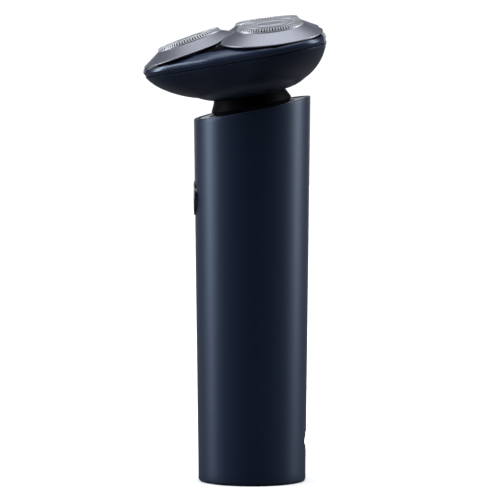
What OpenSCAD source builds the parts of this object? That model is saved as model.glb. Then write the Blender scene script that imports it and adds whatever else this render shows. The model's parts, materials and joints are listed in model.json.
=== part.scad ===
// Rotary electric shaver with three round cutting heads on a slim round handle.
// Origin: centre of the flat base. +Z runs up the handle, -Y is the front with the power button.

/* [Handle] */
// Outer diameter of the handle at its base
base_d = 37.4; // [34:0.2:46]
// Outer diameter of the handle at the centre of its sloping top
top_d = 40.6; // [36:0.2:50]
// Height of the sloping top's centre above the base
handle_h = 130.5; // [118:0.5:170]
// Slope of the handle's top and of the shaving head, towards the front, in degrees
head_tilt = 11.3; // [0:0.1:14]
// Wall of the outer casing
casing_wall = 1.8; // [1.4:0.1:2.2]
// Rounding of the casing's bottom edge
base_fillet = 0.8; // [0.4:0.1:1.2]
// Depth of the top deck below the casing's rim
deck_recess = 0.8; // [0.4:0.1:1.4]
// Thickness of the top deck
deck_t = 1.8; // [1.4:0.1:2.4]
// Thickness of the base cap's plate
base_cap_t = 2.4; // [1.6:0.1:3.6]

/* [Power button] */
// Height of the button's centre above the base
button_z = 99; // [90:0.5:106]
// Outer diameter of the fixed ring around the button
button_ring_d = 12; // [9:0.1:13]
// Width of that ring
button_ring_w = 1.2; // [0.8:0.1:1.8]
// How far the ring stands out of the casing
button_proud = 0.4; // [0.2:0.1:1]
// How far the button travels when pressed
button_travel = 0.45; // [0.2:0.05:0.7]

/* [Charging port] */
// Height of the port's centre above the base
port_z = 14; // [12:0.5:20]
// Width of the recess around the port
port_w = 12.8; // [11.6:0.1:14]
// Height of the recess around the port
port_h = 7; // [5.6:0.1:8]
// Depth of that recess
port_depth = 0.8; // [0.5:0.1:1]

/* [Shaving head] */
// Distance of each cutter's centre from the middle of the three
cutter_ring_r = 18.9; // [18.5:0.1:21]
// Distance of the middle of the three behind the handle's axis
head_offset = 1.9; // [0:0.1:2.5]
// Height of the cutters' centres above the handle's top
cutter_h = 28.2; // [27.8:0.1:31]
// Outward tilt of each cutter, in degrees
cutter_tilt = 8.4; // [4:0.1:9]
// Rounding radius of the head's three corners
corner_r = 17.8; // [17.4:0.1:19]
// Outward bulge of the head's three sides
side_bulge = 1.1; // [0.6:0.1:2]
// Height of the seam between bowl and bezel
seam_h = 17.7; // [17:0.1:18.2]
// Height of the head's widest line
ridge_h = 19.5; // [19.2:0.1:20]
// Height of the bowl's underside, where it meets the neck
bowl_low_h = 4.6; // [4.4:0.1:5]
// Wall of the bowl and the bezel
head_wall = 1.5; // [1.2:0.1:1.8]
// Largest radius of the neck skirt
neck_r = 14.1; // [13.4:0.1:15]
// Radius of the neck skirt where it meets the bowl
neck_top_r = 12.7; // [12.2:0.1:13]

/* [Cutters and petals] */
// Outer radius of a foil at its base
foil_r = 11.5; // [10.8:0.1:12]
// How far a foil's flat top is drawn in from its base
foil_shoulder = 0.5; // [0.3:0.1:0.9]
// Thickness of a foil
foil_t = 0.4; // [0.3:0.05:0.6]
// Number of slits in a foil's outer comb
foil_slits = 36; // [24:6:60]
// Outer radius of a petal
petal_r = 17.9; // [17:0.1:18.4]
// Slope of a petal's flange, in degrees
petal_slope = 27; // [20:1:30]
// Height of a petal's upright edge
petal_edge = 0.45; // [0.3:0.05:0.8]
// Gap between neighbouring petals
petal_gap = 0.8; // [0.5:0.1:1.4]
// How far a cutting unit sinks in when pressed
float_travel = 0.5; // [0.2:0.1:0.6]
// Number of blades on a cutter
blade_count = 12; // [6:1:18]

/* [Drive] */
// Teeth of the central gear, a multiple of three
central_teeth = 18; // [15:3:21]
// Teeth of each of the three spindle gears, an even number
spindle_teeth = 24; // [22:2:26]
// Thickness of the gears
gear_t = 2; // [1.4:0.1:2.2]
// Backlash between meshing teeth
backlash = 0.25; // [0.15:0.05:0.4]
// Radius of the motor's can
motor_r = 9; // [7:0.1:9.4]
// Length of the motor's can
motor_len = 24; // [18:0.5:25]
// Radius of the motor's shaft
shaft_r = 1; // [0.8:0.1:1.2]
// Radius of the deck's spigot that the head plugs onto
spigot_r = 7.5; // [6.5:0.1:8]
// Radial clearance of shafts, spigot and button
running_fit = 0.08; // [0.04:0.01:0.1]

/* [Battery and boards] */
// Diameter of the battery cell
cell_d = 14.2; // [10.4:0.1:14.6]
// Length of the battery cell
cell_len = 50; // [44:0.5:51]
// Height of the battery cell's lower end
cell_z = 38; // [34:0.5:40]
// Thickness of the circuit boards
board_t = 1.2; // [0.8:0.1:1.6]

/* [Hidden] */
$fn = 96;
CUT = 1;
SMALL = 0.02;
HULL_FN = 40;
FAR = 200;

// handle
base_r = base_d / 2;
top_r = top_d / 2;
seat_clear = 0.1;
chassis_t = 1.2;
screw_r = 1;
screw_end = 1;
rim_top = handle_h + top_r;
function outer_r(z) = base_r + (top_r - base_r) * z / handle_h;
function inner_r(z) = outer_r(z) - casing_wall;

// base cap
cap_plug_t = 3;
cap_plug_w = 1.6;
cap_lip = 0.15;
cap_r = inner_r(0) - seat_clear;
seal_t = 1.2;
seal_w = 1.4;
chassis_z = base_cap_t + cap_plug_t + seat_clear;

// deck and motor, measured along the tilted axis from the deck's centre
deck_top = -deck_recess;
deck_low = deck_top - deck_t;
deck_seal_t = 0.8;
deck_seal_w = 2;
mount_t = 1.2;
mount_clear = 0.3;
mount_low = deck_low - deck_seal_t - mount_t;
motor_top = mount_low;
motor_low = motor_top - motor_len;
motor_boss_r = 3;
motor_screw_x = motor_r / 2 + 1.2;
motor_screw_head_r = screw_r + 0.6;
motor_screw_head_t = deck_seal_t - 0.2;
can_t = 0.8;
end_cap_t = 1.6;
rotor_gap = 1;
rotor_slot_in = shaft_r + 3;
rotor_slot_w = 1;
shaft_end = 0.2;
spigot_top = 4;
seal_r = 3.2;
shaft_seal_t = 1.6;
shaft_seal_top = spigot_top - 0.4;
coupler_low = spigot_top + 0.4;
coupler_hub_t = 0.5;
coupler_hub_r = 3;
hex_r = 2.4;
hex_top = 8.2;
hex_clear = 0.3;

// button
button_y = -outer_r(button_z) - button_proud;
button_ring_r = button_ring_d / 2;
button_r = button_ring_r - button_ring_w - running_fit;
button_ring_back = -inner_r(button_z) + 0.4;
button_flange_gap = 0.2;
button_flange_t = 0.5;
button_flange_r = button_r + 0.7;
button_inset = 0.05;
button_dish_r = 18;
button_dish = 0.6;
flange_back = button_ring_back + button_flange_gap + button_flange_t;
gasket_w = 1.3;
gasket_depth = 1.6;
plunger_r = 1.7;
plunger_len = 2.6;
switch_w = 6;
switch_front = flange_back + button_travel + 0.3;
switch_t = 3.2;
board_front = switch_front + switch_t;

// charging port
port_y = outer_r(port_z);
socket_w = 9;
socket_h = 3.2;
socket_len = 7.4;
socket_low = port_y - casing_wall - socket_len;
socket_gap = 0.6;
port_hole_w = socket_w + socket_gap;
port_hole_h = socket_h + socket_gap;
socket_wall = 0.3;
socket_proud = 0.6;
socket_back_t = 1;
gasket_lip = 1;
gasket_t = 1.2;

// boards
main_board_w = 15;
main_board_low = 28;
main_board_high = button_z + 6;
charge_board_w = 17;
charge_board_len = 14;
charge_board_inset = casing_wall + 0.8;
charge_board_clear = 0.4;
board_clear = 0.3;
board_screw_x = 5;
board_screw_rise = 3;
board_screw_r = 0.8;
board_screw_head_r = 1.5;
board_screw_head_t = 0.8;
light_r = 1.1;
light_z = button_z - 15;
light_room = 4;
light_inset = 0.05;

// chassis
boss_r = 2.2;
boss_x = base_r - casing_wall - 4.2;
boss_zs = [cell_z - 9, cell_z + cell_len + 7];
boss_len = 5;
screw_head_r = 1.9;
screw_head_t = 1.1;
rib_t = 1.4;
cell_r = cell_d / 2;
cell_y = 2.5;
tab_t = 0.3;
tab_w = 6;
join_gap = 0.1;

// head outline
low_h = 6.6;
floor_h = 6.8;
bowl_foot = 0.5;
bowl_levels = [7, 7.8, 8.8, 10, 11.4, 13, 14.8, 16.4];
growth_power = 1.7;
growth_root = 0.75;
function fall_share(h) = max(0, min(1, (ridge_h - h) / (ridge_h - low_h)));
function reach(h) = cutter_ring_r * pow(1 - pow(fall_share(h), growth_power), growth_root);
dome_h = 23.2;
dome_levels = [[ridge_h + 0.9, 0.25], [ridge_h + 1.7, 1], [ridge_h + 2.6, 2.6], [dome_h, 5.2]];
frame_inset = 5;
frame_low = ridge_h - 0.4;
frame_flange = 0.3;
frame_clear = 0.2;
skirt_drop = 1;
skirt_clear = 0.3;
skirt_t = 0.8;

// neck and couplings
neck_low = -0.6;
neck_ring_h = 1;
neck_foot = 1;
neck_band = 0.3;
neck_lip = 0.4;
spigot_gap = 0.15;
hub_r = 3.6;
hub_clear = 0.3;
hub_sleeve = 2;
sleeve_lift = 0.5;
sleeve_gap = 0.5;
magnet_r = 1.8;
magnet_t = 1.6;
magnet_x = 5;
magnet_y = -8.4;

// gears
pressure_angle = 20;
flank_steps = 3;
hub_drop = 4.6;
spindle_ring_r = cutter_ring_r - hub_drop * sin(cutter_tilt);
gear_module = 2 * spindle_ring_r / (central_teeth + spindle_teeth);
gear_low = 14.4;
gear_top = gear_low + gear_t;
plate_t = 1.5;
plate_gap = 0.3;
plate_low = gear_low - plate_gap - plate_t;
plate_r = 20.4;
cover_low = gear_top + 0.3;
cover_t = 1;
cover_r = 12.6;
cover_hub_r = 17.6;
head_screw_ring = 15;
head_screw_r = 0.95;
screw_floor = 1;
gear_gap = 0.2;
leg_r = 2.4;
spindle_r = 1.2;
pivot_r = 1.5;
tip_w = 2.4;
tip_t = 1;
tip_clear = 0.4;
tip_top = cutter_h - hub_drop - 0.1;
tip_len = 1.9;
spindle_seal_t = 0.8;
spindle_seal_r = 2.6;

// one cutting unit, measured from the centre of its foil's top
flange_top = -1.2;
petal_low = flange_top - (petal_r - foil_r) * tan(petal_slope);
petal_t = 1.1;
fit_gap = 0.05;
collar_t = 0.9;
collar_low = -4.6;
unit_clear = 0.1;
pocket_low = petal_low - petal_edge - float_travel - unit_clear;
pocket_r = petal_r + 0.4;
bore_r = foil_r + fit_gap + collar_t + 0.3;
foil_low = -3.6;
foil_top_r = foil_r - foil_shoulder;
foil_bend = 0.3;
comb_out = foil_r + SMALL;
comb_in = foil_top_r - 3.4;
inner_comb_out = comb_in - 0.6;
inner_comb_in = inner_comb_out - 2;
inner_slits = foil_slits / 2;
slit_w = 0.5;
slit_depth = 0.8;
foil_cap_r = inner_comb_in - 1;
foil_cap_t = 0.3;
blade_gap = 0.12;
blade_h = 1.8;
blade_t = 0.5;
blade_out = foil_top_r - 0.8;
blade_in = inner_comb_in + 0.2;
blade_end = 0.3;
disc_t = 1;
cutter_hub_r = 2.8;
cutter_hub_low = -5.5;
socket_top = -3.3;
SPRING_SIDES = 6;
SPRING_STEPS = 14;
spring_r = 3.6;
spring_wire = 0.3;
spring_turns = 3;
spring_low = cover_low + cover_t + spindle_seal_t + 0.1;
spring_high = cutter_h - 4.1;
hub_cap_r = 3;
hub_cap_edge = 0.5;
hub_arm_w = 5;
hub_arm_len = cutter_ring_r;
hub_cap_top = 25;

directions = [-90, 30, 150];

// ---- places ----

// the tilted frame at the centre of the handle's top
module on_deck() translate([0, 0, handle_h]) rotate([head_tilt, 0, 0]) children();

// the same frame, moved to the middle of the three cutters, which is also the motor's axis
module on_drive() on_deck() translate([0, head_offset, 0]) children();

// a spindle's place, with +X pointing outward
module at_spindle(n) on_drive() rotate([0, 0, directions[n]]) translate([spindle_ring_r, 0, 0]) children();

// a cutting unit's frame: the origin is the centre of the foil's top, +X points outward
module at_unit(n)
    on_drive() rotate([0, 0, directions[n]])
        translate([cutter_ring_r, 0, cutter_h]) rotate([0, cutter_tilt, 0]) children();

// ---- shared shapes ----

module tube(r_out, r_in, low, high) {
    difference() {
        translate([0, 0, low]) cylinder(r = r_out, h = high - low);
        translate([0, 0, low - CUT]) cylinder(r = r_in, h = high - low + 2 * CUT);
    }
}

// a solid that fills the casing's inside, less a clearance
module inside(clear, low, high) {
    rotate_extrude()
        polygon([[0, low], [inner_r(low) - clear, low], [inner_r(high) - clear, high], [0, high]]);
}

// a ring against the casing's inside
module lining(clear, thickness, low, high) {
    rotate_extrude() polygon([[inner_r(low) - clear - thickness, low], [inner_r(low) - clear, low],
        [inner_r(high) - clear, high], [inner_r(high) - clear - thickness, high]]);
}

// a slab square to the tilted axis
module slab(low, high) on_deck() translate([-FAR / 2, -FAR / 2, low]) cube([FAR, FAR, high - low]);

// a bar with round ends, lying along X, its length along Y
module stadium(w, h, y_low, y_high) {
    translate([-(w - h) / 2, y_low, -h / 2]) cube([w - h, y_high - y_low, h]);
    for (side = [-1, 1])
        translate([side * (w - h) / 2, y_low, 0]) rotate([-90, 0, 0]) cylinder(d = h, h = y_high - y_low);
}

// a thin slice of the head's rounded triangle: how far its corners reach, and how far in it is drawn
module slice(h, reach_r, inset, bulge, thick) {
    translate([0, 0, h]) {
        for (a = directions) rotate([0, 0, a]) translate([reach_r, 0, 0])
            cylinder(r = corner_r - inset, h = thick, $fn = HULL_FN);
        cylinder(r = reach_r / 2 + corner_r + bulge - inset, h = thick, $fn = 2 * HULL_FN);
    }
}

// slices of the bowl between two heights, to be hulled
module bowl_slices(top, inset) {
    for (h = bowl_levels) {
        if (h < top) {
            share = reach(h) / cutter_ring_r;
            translate([0, -head_offset * (1 - share), 0])
                slice(h + inset, reach(h), inset, side_bulge * share, SMALL);
        }
    }
    slice(top - SMALL, reach(top), inset, side_bulge, SMALL);
}

module bezel_solid() {
    hull() {
        slice(seam_h, reach(seam_h), 0, side_bulge, SMALL);
        slice(ridge_h, cutter_ring_r, 0, side_bulge, SMALL);
        for (level = dome_levels) slice(level[0], cutter_ring_r, level[1], side_bulge, SMALL);
    }
}

module rounded_prism(inset, low, high) hull() slice(low, cutter_ring_r, inset, side_bulge, high - low);

// involute tooth flank
function involute(r_base, a) =
    [r_base * (cos(a) + a * PI / 180 * sin(a)), r_base * (sin(a) - a * PI / 180 * cos(a))];
function turned(p, a) = [p[0] * cos(a) - p[1] * sin(a), p[0] * sin(a) + p[1] * cos(a)];
function roll_angle(r_base, r) = sqrt(pow(r / r_base, 2) - 1) * 180 / PI;

module gear(teeth, low, high) {
    r_pitch = gear_module * teeth / 2;
    r_base = r_pitch * cos(pressure_angle);
    r_tip = r_pitch + 0.9 * gear_module;
    r_root = r_pitch - 1.2 * gear_module;
    roll_pitch = roll_angle(r_base, r_pitch);
    flank_pitch = roll_pitch - atan(roll_pitch * PI / 180);
    half_tooth = 90 / teeth - backlash / 4 / r_pitch * 180 / PI;
    roll_tip = roll_angle(r_base, r_tip);
    flank = [for (i = [0:flank_steps])
        turned(involute(r_base, roll_tip * i / flank_steps), -half_tooth - flank_pitch)];
    mirrored = [for (i = [flank_steps:-1:0]) [flank[i][0], -flank[i][1]]];
    foot = [for (side = [-1, 1]) turned([r_root, 0], side * (half_tooth + flank_pitch))];
    translate([0, 0, low]) linear_extrude(height = high - low) polygon([
        for (n = [0:teeth - 1])
            for (p = concat([foot[0]], flank, mirrored, [foot[1]])) turned(p, n * 360 / teeth)]);
}

// ---- handle ----

module along_y(z, x = 0) translate([x, 0, z]) rotate([-90, 0, 0]) children();

module outer_casing() color([0.07, 0.09, 0.14]) difference() {
    rotate_extrude() polygon(concat(
        [[inner_r(cap_lip), cap_lip]],
        [for (a = [-90:15:0])
            [base_r - base_fillet + base_fillet * cos(a), cap_lip + base_fillet + base_fillet * sin(a)]],
        [[outer_r(rim_top), rim_top], [inner_r(rim_top), rim_top]]));
    slab(0, FAR);
    along_y(button_z) translate([0, 0, -FAR]) cylinder(r = button_ring_r, h = FAR);
    along_y(light_z) translate([0, 0, -FAR]) cylinder(r = light_r, h = FAR);
    translate([0, 0, port_z]) {
        stadium(port_w, port_h, port_y - port_depth, FAR);
        stadium(port_hole_w, port_hole_h, 0, FAR);
    }
}

module base_cap() color([0.05, 0.06, 0.09]) {
    cylinder(r = cap_r, h = base_cap_t);
    tube(cap_r - seal_w, cap_r - seal_w - cap_plug_w, base_cap_t - SMALL, base_cap_t + cap_plug_t);
}

module base_seal() color("black") tube(cap_r, cap_r - seal_w, base_cap_t, base_cap_t + seal_t);

module top_deck() color([0.75, 0.77, 0.82]) difference() {
    union() {
        intersection() {
            inside(seat_clear, 0, rim_top);
            slab(deck_low, deck_top);
        }
        on_drive() translate([0, 0, deck_low]) cylinder(r = spigot_r, h = spigot_top - deck_low);
    }
    on_drive() translate([0, 0, deck_low - CUT]) cylinder(r = seal_r, h = spigot_top - deck_low + 2 * CUT);
    magnets(deck_top - magnet_t, deck_top + CUT);
}

module deck_seal() color("black") intersection() {
    lining(seat_clear, deck_seal_w, 0, rim_top);
    slab(deck_low - deck_seal_t, deck_low);
}

module magnets(low, high)
    for (side = [-1, 1])
        on_deck() translate([side * magnet_x, magnet_y, low]) cylinder(r = magnet_r, h = high - low);

module deck_magnets() color("silver") magnets(deck_top - magnet_t, deck_top);

// one half of the inner chassis: the front one for side -1, the back one for side 1
module chassis_half(side) difference() {
    intersection() {
        union() {
            lining(seat_clear, chassis_t, chassis_z, rim_top);
            intersection() {
                inside(seat_clear, chassis_z, rim_top);
                union() {
                    for (z = [cell_z - tab_t - rib_t, cell_z + cell_len + tab_t])
                        translate([0, 0, z]) cylinder(r = FAR, h = rib_t);
                    for (z = boss_zs)
                        for (x = [-boss_x, boss_x])
                            along_y(z, x) translate([0, 0, -boss_len])
                                cylinder(r = boss_r, h = 2 * boss_len);
                }
            }
        }
        translate([-FAR, side < 0 ? -FAR - join_gap / 2 : join_gap / 2, 0]) cube([2 * FAR, FAR, FAR]);
    }
    slab(mount_low - seat_clear, FAR);
    for (z = boss_zs)
        for (x = [-boss_x, boss_x])
            along_y(z, x) translate([0, 0, -FAR]) cylinder(r = screw_r, h = FAR + boss_len - screw_end);
    if (side < 0) {
        translate([-main_board_w / 2 - board_clear, board_front - board_screw_head_t - board_clear,
            main_board_low - board_clear])
            cube([main_board_w + 2 * board_clear, board_t + board_screw_head_t + 2 * board_clear, FAR]);
        translate([-main_board_w / 2 - board_clear, -FAR, light_z - light_room])
            cube([main_board_w + 2 * board_clear, FAR + board_front, FAR]);
    } else {
        translate([-charge_board_w / 2 - board_clear, 0, chassis_z - CUT])
            cube([charge_board_w + 2 * board_clear, FAR, port_z + port_h - chassis_z + CUT]);
    }
}

module chassis_front() color([0.85, 0.86, 0.88]) chassis_half(-1);
module chassis_back() color([0.8, 0.82, 0.85]) chassis_half(1);

module chassis_screws() color("silver")
    for (z = boss_zs)
        for (x = [-boss_x, boss_x])
            along_y(z, x) {
                translate([0, 0, -boss_len - screw_head_t]) cylinder(r = screw_head_r, h = screw_head_t);
                translate([0, 0, -boss_len]) cylinder(r = screw_r, h = 2 * (boss_len - screw_end));
            }

// ---- motor ----

module motor_mount() color("gray") difference() {
    intersection() {
        inside(mount_clear, 0, rim_top);
        slab(mount_low, mount_low + mount_t);
    }
    on_drive() translate([0, 0, mount_low - CUT]) cylinder(r = motor_boss_r + seat_clear, h = FAR);
    motor_screw_places() translate([0, 0, mount_low - CUT]) cylinder(r = screw_r, h = FAR);
}

module motor_screw_places()
    for (side = [-1, 1]) on_drive() translate([side * motor_screw_x, 0, 0]) children();

module motor_screws() color("silver") motor_screw_places() {
    translate([0, 0, mount_low - can_t]) cylinder(r = screw_r, h = mount_t + can_t);
    translate([0, 0, mount_low + mount_t]) cylinder(r = motor_screw_head_r, h = motor_screw_head_t);
}

module motor_can() color([0.6, 0.6, 0.62]) difference() {
    on_drive() {
        translate([0, 0, motor_low]) cylinder(r = motor_r, h = motor_len);
        translate([0, 0, motor_top - SMALL]) cylinder(r = motor_boss_r, h = mount_t + SMALL);
    }
    on_drive() {
        translate([0, 0, motor_low - CUT]) cylinder(r = motor_r - can_t, h = motor_len - can_t + CUT);
        translate([0, 0, motor_low - CUT]) cylinder(r = shaft_r + running_fit, h = FAR);
    }
    motor_screw_places() translate([0, 0, motor_top - can_t - CUT]) cylinder(r = screw_r, h = FAR);
}

module motor_end_cap() color([0.15, 0.15, 0.16])
    on_drive() tube(motor_r - can_t, shaft_r + running_fit, motor_low, motor_low + end_cap_t);

module motor_rotor() color([0.72, 0.45, 0.2]) on_drive() difference() {
    tube(motor_r - can_t - rotor_gap, shaft_r, motor_low + end_cap_t + rotor_gap,
        motor_top - can_t - rotor_gap);
    for (a = [0, 120, 240])
        rotate([0, 0, a]) translate([rotor_slot_in, -rotor_slot_w / 2, motor_low])
            cube([motor_r, rotor_slot_w, motor_len]);
}

module motor_shaft() color("silver") on_drive()
    translate([0, 0, motor_low + shaft_end])
        cylinder(r = shaft_r, h = hex_top - CUT - motor_low - shaft_end);

module shaft_seal() color("black")
    on_drive() tube(seal_r, shaft_r + running_fit, shaft_seal_top - shaft_seal_t, shaft_seal_top);

module drive_coupler() color([0.9, 0.9, 0.9]) on_drive() difference() {
    union() {
        translate([0, 0, coupler_low]) cylinder(r = coupler_hub_r, h = coupler_hub_t);
        translate([0, 0, coupler_low]) cylinder(r = hex_r, h = hex_top - coupler_low, $fn = 6);
    }
    translate([0, 0, coupler_low - CUT]) cylinder(r = shaft_r, h = hex_top - coupler_low);
}

// ---- battery, boards, button and port ----

module battery_cell() color([0.2, 0.45, 0.35])
    translate([0, cell_y, cell_z]) cylinder(r = cell_r, h = cell_len);

module battery_tabs() color("silver")
    for (z = [cell_z - tab_t, cell_z + cell_len])
        translate([-tab_w / 2, cell_y - tab_w / 2, z]) cube([tab_w, tab_w, tab_t]);

module main_board() color([0.05, 0.3, 0.15]) difference() {
    translate([-main_board_w / 2, board_front, main_board_low])
        cube([main_board_w, board_t, main_board_high - main_board_low]);
    board_screw_places() translate([0, 0, -FAR]) cylinder(r = board_screw_r, h = FAR);
}

module board_screw_places()
    for (side = [-1, 1]) along_y(main_board_low + board_screw_rise, side * board_screw_x) children();

module board_screws() color("silver") board_screw_places() {
    translate([0, 0, board_front - board_screw_head_t])
        cylinder(r = board_screw_head_r, h = board_screw_head_t);
    translate([0, 0, board_front]) cylinder(r = board_screw_r, h = board_t);
}

module switch_body() color([0.2, 0.2, 0.22]) difference() {
    translate([-switch_w / 2, switch_front, button_z - switch_w / 2]) cube([switch_w, switch_t, switch_w]);
    along_y(button_z) translate([0, 0, switch_front - CUT])
        cylinder(r = plunger_r + running_fit, h = plunger_len + CUT);
}

module switch_plunger() color("white")
    along_y(button_z) translate([0, 0, flange_back])
        cylinder(r = plunger_r, h = plunger_len - button_travel);

module charge_light() color([0.9, 0.95, 1])
    along_y(light_z) translate([0, 0, light_inset - outer_r(light_z)])
        cylinder(r = light_r, h = outer_r(light_z) + board_front - light_inset);

module charge_board() color([0.05, 0.3, 0.15]) translate([0, 0, port_z - socket_h / 2 - board_t])
    intersection() {
        translate([-charge_board_w / 2, port_y - charge_board_inset - charge_board_len, 0])
            cube([charge_board_w, charge_board_len, board_t]);
        cylinder(r = inner_r(0) - chassis_t - charge_board_clear, h = FAR);
    }

module charge_socket() color("silver") translate([0, 0, port_z]) difference() {
    stadium(socket_w, socket_h, socket_low, port_y - casing_wall + socket_proud);
    stadium(socket_w - 2 * socket_wall, socket_h - 2 * socket_wall, socket_low + socket_back_t, FAR);
}

module port_gasket() color("black") difference() {
    intersection() {
        translate([0, 0, port_z])
            stadium(port_hole_w + 2 * gasket_lip, port_hole_h + 2 * gasket_lip, 0, FAR);
        lining(0, gasket_t, 0, port_z * 2);
    }
    translate([0, 0, port_z]) stadium(socket_w, socket_h, 0, FAR);
}

module button_ring() color([0.03, 0.03, 0.04])
    along_y(button_z) tube(button_ring_r, button_ring_r - button_ring_w, button_y, button_ring_back);

module button_gasket() color("black") intersection() {
    along_y(button_z) tube(button_ring_r + gasket_w, button_ring_r, -FAR, 0);
    lining(0, gasket_depth, button_z - 2 * button_ring_r, button_z + 2 * button_ring_r);
}

module power_button() color([0.12, 0.12, 0.14]) difference() {
    along_y(button_z) {
        translate([0, 0, button_y + button_inset])
            cylinder(r = button_r, h = flange_back - button_y - button_inset);
        translate([0, 0, flange_back - button_flange_t]) cylinder(r = button_flange_r, h = button_flange_t);
    }
    along_y(button_z) translate([0, 0, button_y + button_inset + button_dish - button_dish_r])
        sphere(r = button_dish_r);
}

// ---- shaving head ----

module neck_skirt() color([0.03, 0.03, 0.04]) difference() {
    on_deck() rotate_extrude() polygon([
        [0, neck_low], [neck_r - neck_foot, neck_low],
        [neck_r, neck_ring_h], [neck_r, neck_ring_h + neck_band],
        [neck_top_r, bowl_low_h - neck_lip], [neck_top_r, bowl_low_h], [0, bowl_low_h]]);
    on_drive() {
        translate([0, 0, neck_low - CUT])
            cylinder(r = spigot_r + running_fit, h = spigot_top + spigot_gap - neck_low + CUT);
        cylinder(r = hub_r + hub_clear, h = FAR);
    }
    magnets(neck_low - CUT, neck_low + magnet_t);
}

module head_magnets() color("silver") magnets(neck_low, neck_low + magnet_t);

module bowl() color([0.06, 0.08, 0.13]) on_drive() difference() {
    union() {
        difference() {
            hull() {
                translate([0, -head_offset, bowl_low_h])
                    cylinder(r = neck_top_r + bowl_foot, h = SMALL, $fn = 2 * HULL_FN);
                bowl_slices(seam_h, 0);
            }
            hull() {
                translate([0, -head_offset, floor_h])
                    cylinder(r = neck_top_r, h = SMALL, $fn = 2 * HULL_FN);
                bowl_slices(seam_h + CUT, head_wall);
            }
        }
        translate([0, 0, bowl_low_h + sleeve_lift])
            cylinder(r = hub_r + hub_sleeve, h = plate_low - sleeve_gap - bowl_low_h - sleeve_lift);
        head_screw_places() translate([0, 0, floor_h]) cylinder(r = leg_r, h = plate_low - floor_h);
    }
    translate([0, 0, bowl_low_h - CUT]) cylinder(r = hub_r + running_fit, h = FAR);
    head_screw_places() translate([0, 0, floor_h + screw_floor]) cylinder(r = head_screw_r, h = FAR);
}

module head_screw_places()
    for (a = directions) rotate([0, 0, a + 180]) translate([head_screw_ring, 0, 0]) children();

module spindle_places() for (a = directions) rotate([0, 0, a]) translate([spindle_ring_r, 0, 0]) children();

module gear_plate() color([0.85, 0.85, 0.82]) on_drive() difference() {
    translate([0, 0, plate_low]) cylinder(r = plate_r, h = plate_t);
    translate([0, 0, plate_low - CUT]) {
        cylinder(r = hub_r + running_fit, h = FAR);
        spindle_places() cylinder(r = pivot_r + running_fit, h = FAR);
        head_screw_places() cylinder(r = head_screw_r, h = FAR);
    }
}

module gear_cover() color([0.8, 0.8, 0.78]) on_drive() difference() {
    union() {
        translate([0, 0, cover_low]) cylinder(r = cover_hub_r, h = cover_t);
        spindle_places() translate([0, 0, cover_low]) cylinder(r = cover_r, h = cover_t);
        head_screw_places() translate([0, 0, plate_low + plate_t])
            cylinder(r = leg_r, h = cover_low - plate_low - plate_t + SMALL);
    }
    translate([0, 0, plate_low]) {
        cylinder(r = spindle_r + running_fit, h = FAR);
        spindle_places() cylinder(r = spindle_r + running_fit, h = FAR);
        head_screw_places() cylinder(r = head_screw_r, h = FAR);
    }
}

module head_screws() color("silver") on_drive() head_screw_places() {
    translate([0, 0, floor_h + screw_floor + screw_end])
        cylinder(r = head_screw_r, h = cover_low + cover_t - floor_h - screw_floor - screw_end);
    translate([0, 0, cover_low + cover_t]) cylinder(r = screw_head_r, h = screw_head_t);
}

module spindle_seals() color("black") on_drive() spindle_places()
    tube(spindle_seal_r, spindle_r + running_fit, cover_low + cover_t,
        cover_low + cover_t + spindle_seal_t);

module central_gear() color([0.92, 0.9, 0.8]) on_drive() rotate([0, 0, directions[0]]) difference() {
    union() {
        translate([0, 0, coupler_low + coupler_hub_t + gear_gap])
            cylinder(r = hub_r, h = gear_low - coupler_low - coupler_hub_t - gear_gap + SMALL);
        gear(central_teeth, gear_low, gear_top);
        translate([0, 0, gear_top - SMALL]) cylinder(r = spindle_r, h = cover_low + cover_t - gear_top);
    }
    rotate([0, 0, -directions[0]]) cylinder(r = hex_r + hex_clear, h = hex_top + hex_clear, $fn = 6);
}

module spindle(n) color([0.92, 0.9, 0.8]) at_spindle(n) {
    translate([0, 0, plate_low]) cylinder(r = pivot_r, h = gear_low - plate_low + SMALL);
    rotate([0, 0, 180 / spindle_teeth]) gear(spindle_teeth, gear_low, gear_top);
    translate([0, 0, gear_top - SMALL]) cylinder(r = spindle_r, h = tip_top - tip_len - gear_top + SMALL);
    translate([-tip_w / 2, -tip_t / 2, tip_top - tip_len - SMALL]) cube([tip_w, tip_t, tip_len + SMALL]);
}

module spindle_front() spindle(0);
module spindle_right() spindle(1);
module spindle_left() spindle(2);

// the bezel's skirt, which drops inside the bowl
module skirt_prism(inset, low, high) {
    h = seam_h - skirt_drop - head_wall;
    share = reach(h) / cutter_ring_r;
    hull() translate([0, -head_offset * (1 - share), 0])
        slice(low, reach(h), inset, side_bulge * share, high - low);
}

// room for the three cutting units to stand in and sink into
module unit_pockets()
    for (n = [0:2]) at_unit(n) {
        translate([0, 0, pocket_low]) cylinder(r = pocket_r, h = FAR);
        translate([0, 0, -FAR]) cylinder(r = bore_r, h = FAR);
    }

module bezel_ring() color([0.1, 0.13, 0.25]) difference() {
    on_drive() difference() {
        union() {
            bezel_solid();
            skirt_prism(head_wall + skirt_clear, seam_h - skirt_drop, seam_h + SMALL);
        }
        skirt_prism(head_wall + skirt_clear + skirt_t, seam_h - skirt_drop - CUT, ridge_h + frame_flange);
        rounded_prism(frame_inset, ridge_h, dome_h + CUT);
    }
    unit_pockets();
}

module petal_frame() color([0.03, 0.03, 0.04]) difference() {
    on_drive() {
        intersection() {
            bezel_solid();
            rounded_prism(frame_inset + seat_clear, frame_low, dome_h);
        }
        skirt_prism(head_wall + skirt_clear + skirt_t + frame_clear, frame_low, ridge_h + frame_flange);
    }
    unit_pockets();
}

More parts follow.
